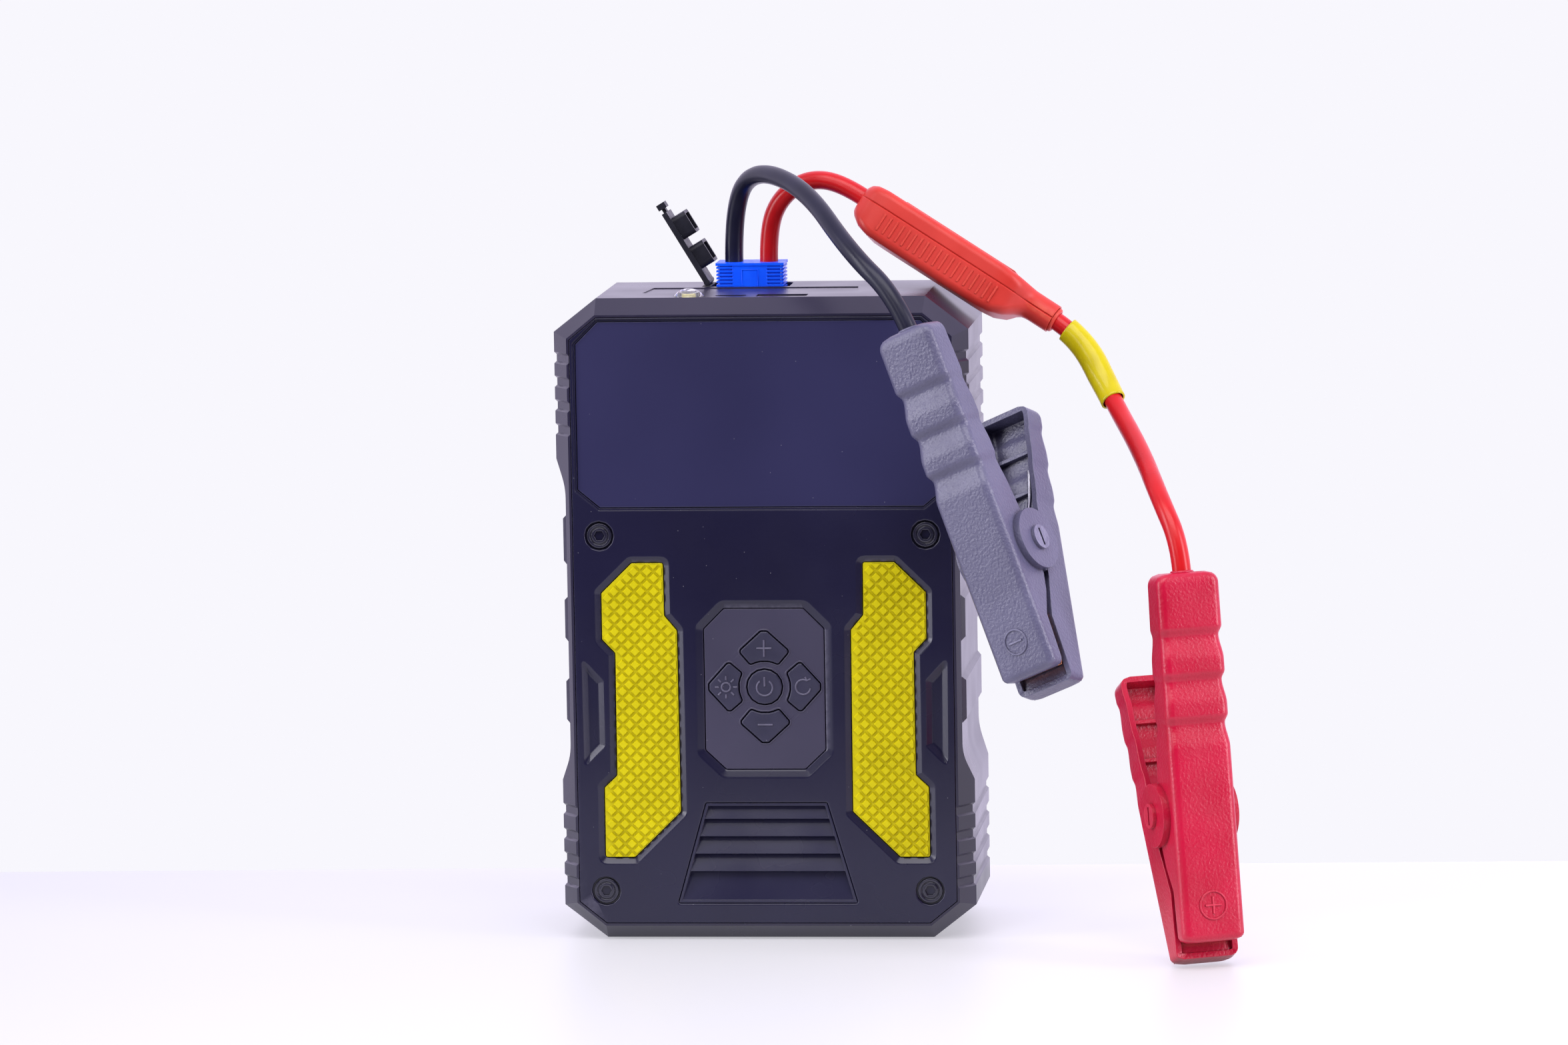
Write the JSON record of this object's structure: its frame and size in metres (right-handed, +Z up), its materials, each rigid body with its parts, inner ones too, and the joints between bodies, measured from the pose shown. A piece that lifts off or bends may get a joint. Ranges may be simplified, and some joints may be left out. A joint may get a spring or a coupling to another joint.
{
  "type": "jump starter pack",
  "caption": "Upright battery pack for starting a car, with a screen, keypad, grips, a capped power socket and a plugged-in lead that ends in sprung clamps.",
  "frame": {"origin": "middle of the case's bottom face", "axes": "+Z up, +X to the right of the front face, the front face looks along -Y"},
  "size_m": [0.2043, 0.119, 0.2274],
  "materials": {
    "case_plastic": "fine-grained satin black with a violet cast",
    "cover_plastic": "fine-grained satin black",
    "screen_glass": "gloss, nearly opaque dark tint",
    "display_black": "matt",
    "grip_rubber": "matt bright yellow",
    "panel_plastic": "satin dark grey",
    "key_rubber": "fine-grained dark grey",
    "screw_black": "satin black",
    "port_plastic": "matt black",
    "lens_clear": "clear",
    "led_yellow": "pale yellow",
    "contact_brass": "plated",
    "cap_rubber": "matt black",
    "board_green": "solder mask",
    "cell_foil": "foil pouch",
    "motor_steel": "plated",
    "pump_aluminium": "cast",
    "plug_blue": "satin blue",
    "wire_black": "satin silicone",
    "wire_red": "satin silicone",
    "module_red": "satin orange-red",
    "sleeve_yellow": "gloss film",
    "clamp_black": "spark-eroded grain",
    "clamp_red": "spark-eroded grain",
    "pin_steel": "plated",
    "spring_steel": "bright wire",
    "jaw_copper": "copper plated"
  },
  "bodies": {
    "case": {"housing": "case_plastic", "front_cover": "cover_plastic", "display_glass": "screen_glass", "display_module": "display_black", "grip_right": "grip_rubber", "grip_left": "grip_rubber", "button_panel": "panel_plastic", "control_board": "board_green", "vent_grille": "cover_plastic", "cover_screw_1": "screw_black", "cover_screw_2": "screw_black", "cover_screw_3": "screw_black", "cover_screw_4": "screw_black", "usb_a_port": "port_plastic", "usb_c_port": "port_plastic", "torch_lens": "lens_clear", "torch_led": "led_yellow", "socket_block": "port_plastic", "socket_contact_left": "contact_brass", "socket_contact_right": "contact_brass", "battery_cell_1": "cell_foil", "battery_cell_2": "cell_foil", "battery_cell_3": "cell_foil", "compressor_motor": "motor_steel", "compressor_head": "pump_aluminium"},
    "button_power": {"button_power": "key_rubber"},
    "button_plus": {"button_plus": "key_rubber"},
    "button_light": {"button_light": "key_rubber"},
    "button_minus": {"button_minus": "key_rubber"},
    "button_mode": {"button_mode": "key_rubber"},
    "socket_cap": {"socket_cap": "cap_rubber"},
    "lead": {"plug_shell": "plug_blue", "wire_black": "wire_black", "wire_red_feed": "wire_red", "wire_red_tail": "wire_red", "module_base": "module_red", "module_lid": "module_red", "module_board": "board_green", "cable_sleeve": "sleeve_yellow", "clamp_black_cable_half": "clamp_black", "clamp_black_pin": "pin_steel", "clamp_black_spring": "spring_steel", "clamp_black_jaw_cable": "jaw_copper", "clamp_red_cable_half": "clamp_red", "clamp_red_pin": "pin_steel", "clamp_red_spring": "spring_steel", "clamp_red_jaw_cable": "jaw_copper"},
    "clamp_black_jaw": {"clamp_black_free_half": "clamp_black", "clamp_black_jaw_free": "jaw_copper"},
    "clamp_red_jaw": {"clamp_red_free_half": "clamp_red", "clamp_red_jaw_free": "jaw_copper"}
  },
  "joints": [
    {"name": "power_press", "type": "slide", "parent": "case", "child": "button_power", "axis": [0, 1, 0], "range_m": [0, 0.0008], "stiffness_N_per_m": 400, "springref_m": -0.001},
    {"name": "plus_press", "type": "slide", "parent": "case", "child": "button_plus", "axis": [0, 1, 0], "range_m": [0, 0.0008], "stiffness_N_per_m": 400, "springref_m": -0.001},
    {"name": "light_press", "type": "slide", "parent": "case", "child": "button_light", "axis": [0, 1, 0], "range_m": [0, 0.0008], "stiffness_N_per_m": 400, "springref_m": -0.001},
    {"name": "minus_press", "type": "slide", "parent": "case", "child": "button_minus", "axis": [0, 1, 0], "range_m": [0, 0.0008], "stiffness_N_per_m": 400, "springref_m": -0.001},
    {"name": "mode_press", "type": "slide", "parent": "case", "child": "button_mode", "axis": [0, 1, 0], "range_m": [0, 0.0008], "stiffness_N_per_m": 400, "springref_m": -0.001},
    {"name": "lead_unplug", "type": "slide", "parent": "case", "child": "lead", "axis": [0, 0, 1], "range_m": [0, 0.03]},
    {"name": "cap_hinge", "type": "hinge", "parent": "case", "child": "socket_cap", "pos_m": [-0.0196, 0.01575, 0.1911], "axis": [0, 1, 0], "range_deg": [-55, 0]},
    {"name": "black_jaw", "type": "hinge", "parent": "lead", "child": "clamp_black_jaw", "pos_m": [0.0742, -0.06025, 0.1189], "axis": [0.8283, -0.3991, 0.3932], "range_deg": [0, 28], "stiffness_Nm_per_rad": 0.5, "springref_deg": -17.19, "deforming": ["clamp_black_spring"]},
    {"name": "red_jaw", "type": "hinge", "parent": "lead", "child": "clamp_red_jaw", "pos_m": [0.1266, -0.0672, 0.0435], "axis": [0.9083, 0.4182, 0.0135], "range_deg": [0, 28], "stiffness_Nm_per_rad": 0.5, "springref_deg": -17.19, "deforming": ["clamp_red_spring"]}
  ]
}
